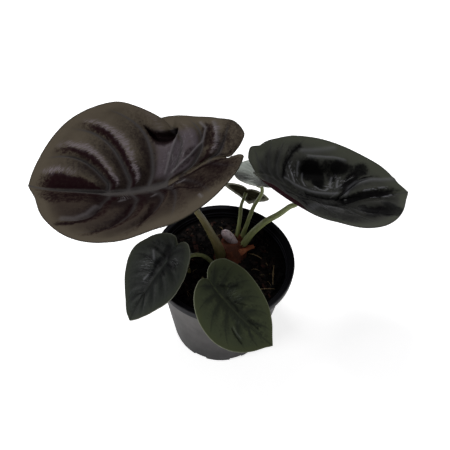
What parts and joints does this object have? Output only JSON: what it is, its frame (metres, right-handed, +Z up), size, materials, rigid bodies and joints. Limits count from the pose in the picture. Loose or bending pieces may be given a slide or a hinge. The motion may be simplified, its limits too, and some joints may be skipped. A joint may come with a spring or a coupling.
{
  "type": "alocasia plant in a nursery pot",
  "caption": "Young alocasia with quilted peltate leaves on slim arching petioles, rooted in bark mix in a round tapered nursery pot.",
  "frame": {"origin": "middle of the pot's underside, on the surface that it stands on", "axes": "+Z up along the pot's axis, +X towards the near-black large leaf, -Y towards the two small front leaves"},
  "size_m": [0.2882, 0.1628, 0.2015],
  "materials": {
    "black_plastic": "injection moulded black plastic, satin, lightly scuffed",
    "bark_mix": "damp dark bark and coir with reddish chips and straw",
    "dry_sheath": "dry fibrous red-brown sheath with an orange papery strip",
    "petiole": "smooth satin olive green stem, paler at the edges",
    "bud": "smooth pale pink-lilac skin",
    "side_shoot": "smooth pale yellow-green skin",
    "leaf_bronze": "metallic bronze-olive upper face with dark red-purple slopes and silvery veins, purple underside",
    "leaf_black": "glossy near-black green upper face, purple underside",
    "leaf_green": "satin dark green young blade with a pale margin line",
    "leaf_pale": "satin gray-green young blade, brownish where it is thin"
  },
  "bodies": {
    "root": {"pot": "black_plastic", "soil": "bark_mix", "crown": "dry_sheath", "bud": "bud", "side_shoot_1": "side_shoot", "side_shoot_2": "side_shoot", "petiole_large_left": "petiole", "petiole_large_right": "petiole", "petiole_small_left": "petiole", "petiole_small_front": "petiole", "petiole_back_upper": "petiole", "petiole_back_lower": "petiole", "blade_large_left": "leaf_bronze", "blade_large_right": "leaf_black", "blade_small_left": "leaf_green", "blade_small_front": "leaf_green", "blade_back_upper": "leaf_pale", "blade_back_lower": "leaf_pale"}
  },
  "joints": []
}
